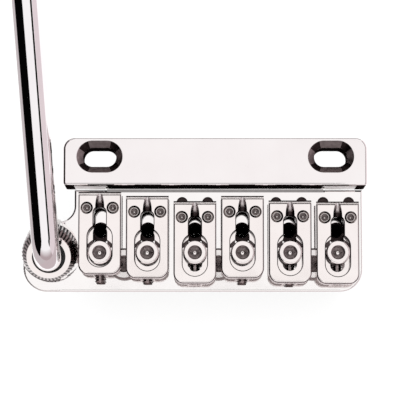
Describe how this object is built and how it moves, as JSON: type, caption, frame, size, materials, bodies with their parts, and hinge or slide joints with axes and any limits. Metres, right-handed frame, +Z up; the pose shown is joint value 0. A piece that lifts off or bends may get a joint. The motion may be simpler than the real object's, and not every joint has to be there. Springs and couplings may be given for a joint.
{
  "type": "guitar tremolo bridge",
  "caption": "Left-handed guitar tremolo bridge: slotted bar hinged to a plate with adjustable saddles, a sustain block below and a bent arm held by a knurled nut.",
  "frame": {"origin": "midway between the two mounting slots, on the guitar's top under the bar", "axes": "+Z up off the guitar's top, +Y towards the neck, +X to the right seen from above with the neck away"},
  "size_m": [0.0839, 0.1377, 0.0852],
  "materials": {
    "polished_nickel": "polished plating",
    "turned_steel": "turned",
    "plated_screw": "plated, threaded",
    "milled_steel": "milled",
    "turned_brass": "turned",
    "moulded_nylon": "moulded"
  },
  "bodies": {
    "bar": {"front_bar": "polished_nickel", "hinge_axle": "turned_steel"},
    "bridge": {"bridge_plate": "polished_nickel", "hinge_bushes": "turned_brass", "sustain_block": "milled_steel", "block_screws": "turned_steel", "arm_socket": "turned_steel", "arm_collet": "moulded_nylon", "clamp_screw_1": "plated_screw", "clamp_screw_2": "plated_screw", "clamp_screw_3": "plated_screw", "clamp_screw_4": "plated_screw", "clamp_screw_5": "plated_screw", "clamp_screw_6": "plated_screw"},
    "arm": {"tremolo_arm": "polished_nickel"},
    "nut": {"tension_nut": "polished_nickel"},
    "saddle_feet_1": {"height_screws_1": "plated_screw"},
    "saddle_body_1": {"saddle_1": "polished_nickel"},
    "saddle_adjuster_1": {"intonation_screw_1": "plated_screw"},
    "saddle_feet_2": {"height_screws_2": "plated_screw"},
    "saddle_body_2": {"saddle_2": "polished_nickel"},
    "saddle_adjuster_2": {"intonation_screw_2": "plated_screw"},
    "saddle_feet_3": {"height_screws_3": "plated_screw"},
    "saddle_body_3": {"saddle_3": "polished_nickel"},
    "saddle_adjuster_3": {"intonation_screw_3": "plated_screw"},
    "saddle_feet_4": {"height_screws_4": "plated_screw"},
    "saddle_body_4": {"saddle_4": "polished_nickel"},
    "saddle_adjuster_4": {"intonation_screw_4": "plated_screw"},
    "saddle_feet_5": {"height_screws_5": "plated_screw"},
    "saddle_body_5": {"saddle_5": "polished_nickel"},
    "saddle_adjuster_5": {"intonation_screw_5": "plated_screw"},
    "saddle_feet_6": {"height_screws_6": "plated_screw"},
    "saddle_body_6": {"saddle_6": "polished_nickel"},
    "saddle_adjuster_6": {"intonation_screw_6": "plated_screw"}
  },
  "joints": [
    {"name": "bridge_tilt", "type": "hinge", "parent": "bar", "child": "bridge", "pos_m": [0, -0.0049, 0.0026], "axis": [-1, 0, 0], "range_deg": [-2, 12], "stiffness_Nm_per_rad": 4},
    {"name": "arm_swing", "type": "hinge", "parent": "bridge", "child": "arm", "pos_m": [-0.0377, -0.02115, 0.0052], "axis": [0, -0.309, 0.9511], "range_deg": [-35, 80]},
    {"name": "nut_turn", "type": "hinge", "parent": "bridge", "child": "nut", "pos_m": [-0.0377, -0.02115, 0.0052], "axis": [0, -0.309, 0.9511], "range_deg": [-180, 180]},
    {"name": "saddle_1_intonation", "type": "slide", "parent": "bridge", "child": "saddle_feet_1", "axis": [0, 1, 0], "range_m": [-0.00271, 0.00031]},
    {"name": "saddle_1_height", "type": "hinge", "parent": "saddle_feet_1", "child": "saddle_body_1", "pos_m": [-0.02625, -0.02637, 0.00507], "axis": [1, 0, 0], "range_deg": [-1.2, 1.2]},
    {"name": "intonation_1_turn", "type": "hinge", "parent": "bridge", "child": "saddle_adjuster_1", "pos_m": [-0.02625, -0.026, 0.00715], "axis": [0, 1, 0], "range_deg": [-330, 2250]},
    {"name": "saddle_2_intonation", "type": "slide", "parent": "bridge", "child": "saddle_feet_2", "axis": [0, 1, 0], "range_m": [-0.00181, 0.00121]},
    {"name": "saddle_2_height", "type": "hinge", "parent": "saddle_feet_2", "child": "saddle_body_2", "pos_m": [-0.01545, -0.02728, 0.00507], "axis": [1, 0, 0], "range_deg": [-1.2, 1.2]},
    {"name": "intonation_2_turn", "type": "hinge", "parent": "bridge", "child": "saddle_adjuster_2", "pos_m": [-0.01545, -0.026, 0.00715], "axis": [0, 1, 0], "range_deg": [-1050, 1530]},
    {"name": "saddle_3_intonation", "type": "slide", "parent": "bridge", "child": "saddle_feet_3", "axis": [0, 1, 0], "range_m": [-0.00061, 0.00241]},
    {"name": "saddle_3_height", "type": "hinge", "parent": "saddle_feet_3", "child": "saddle_body_3", "pos_m": [-0.00465, -0.02848, 0.00507], "axis": [1, 0, 0], "range_deg": [-1.2, 1.2]},
    {"name": "intonation_3_turn", "type": "hinge", "parent": "bridge", "child": "saddle_adjuster_3", "pos_m": [-0.00465, -0.026, 0.00715], "axis": [0, 1, 0], "range_deg": [-2010, 570]},
    {"name": "saddle_4_intonation", "type": "slide", "parent": "bridge", "child": "saddle_feet_4", "axis": [0, 1, 0], "range_m": [-0.00181, 0.00121]},
    {"name": "saddle_4_height", "type": "hinge", "parent": "saddle_feet_4", "child": "saddle_body_4", "pos_m": [0.00615, -0.02728, 0.00507], "axis": [1, 0, 0], "range_deg": [-1.2, 1.2]},
    {"name": "intonation_4_turn", "type": "hinge", "parent": "bridge", "child": "saddle_adjuster_4", "pos_m": [0.00615, -0.026, 0.00715], "axis": [0, 1, 0], "range_deg": [-1050, 1530]},
    {"name": "saddle_5_intonation", "type": "slide", "parent": "bridge", "child": "saddle_feet_5", "axis": [0, 1, 0], "range_m": [-0.00076, 0.00226]},
    {"name": "saddle_5_height", "type": "hinge", "parent": "saddle_feet_5", "child": "saddle_body_5", "pos_m": [0.01695, -0.02832, 0.00507], "axis": [1, 0, 0], "range_deg": [-1.2, 1.2]},
    {"name": "intonation_5_turn", "type": "hinge", "parent": "bridge", "child": "saddle_adjuster_5", "pos_m": [0.01695, -0.026, 0.00715], "axis": [0, 1, 0], "range_deg": [-1890, 690]},
    {"name": "saddle_6_intonation", "type": "slide", "parent": "bridge", "child": "saddle_feet_6", "axis": [0, 1, 0], "range_m": [-0.00051, 0.00251]},
    {"name": "saddle_6_height", "type": "hinge", "parent": "saddle_feet_6", "child": "saddle_body_6", "pos_m": [0.02775, -0.02857, 0.00507], "axis": [1, 0, 0], "range_deg": [-1.2, 1.2]},
    {"name": "intonation_6_turn", "type": "hinge", "parent": "bridge", "child": "saddle_adjuster_6", "pos_m": [0.02775, -0.026, 0.00715], "axis": [0, 1, 0], "range_deg": [-2090, 490]}
  ],
  "couplings": [
    {"joint": "intonation_1_turn", "follows": "saddle_1_intonation", "rad_per_m": -13963},
    {"joint": "intonation_2_turn", "follows": "saddle_2_intonation", "rad_per_m": -13963},
    {"joint": "intonation_3_turn", "follows": "saddle_3_intonation", "rad_per_m": -13963},
    {"joint": "intonation_4_turn", "follows": "saddle_4_intonation", "rad_per_m": -13963},
    {"joint": "intonation_5_turn", "follows": "saddle_5_intonation", "rad_per_m": -13963},
    {"joint": "intonation_6_turn", "follows": "saddle_6_intonation", "rad_per_m": -13963}
  ]
}
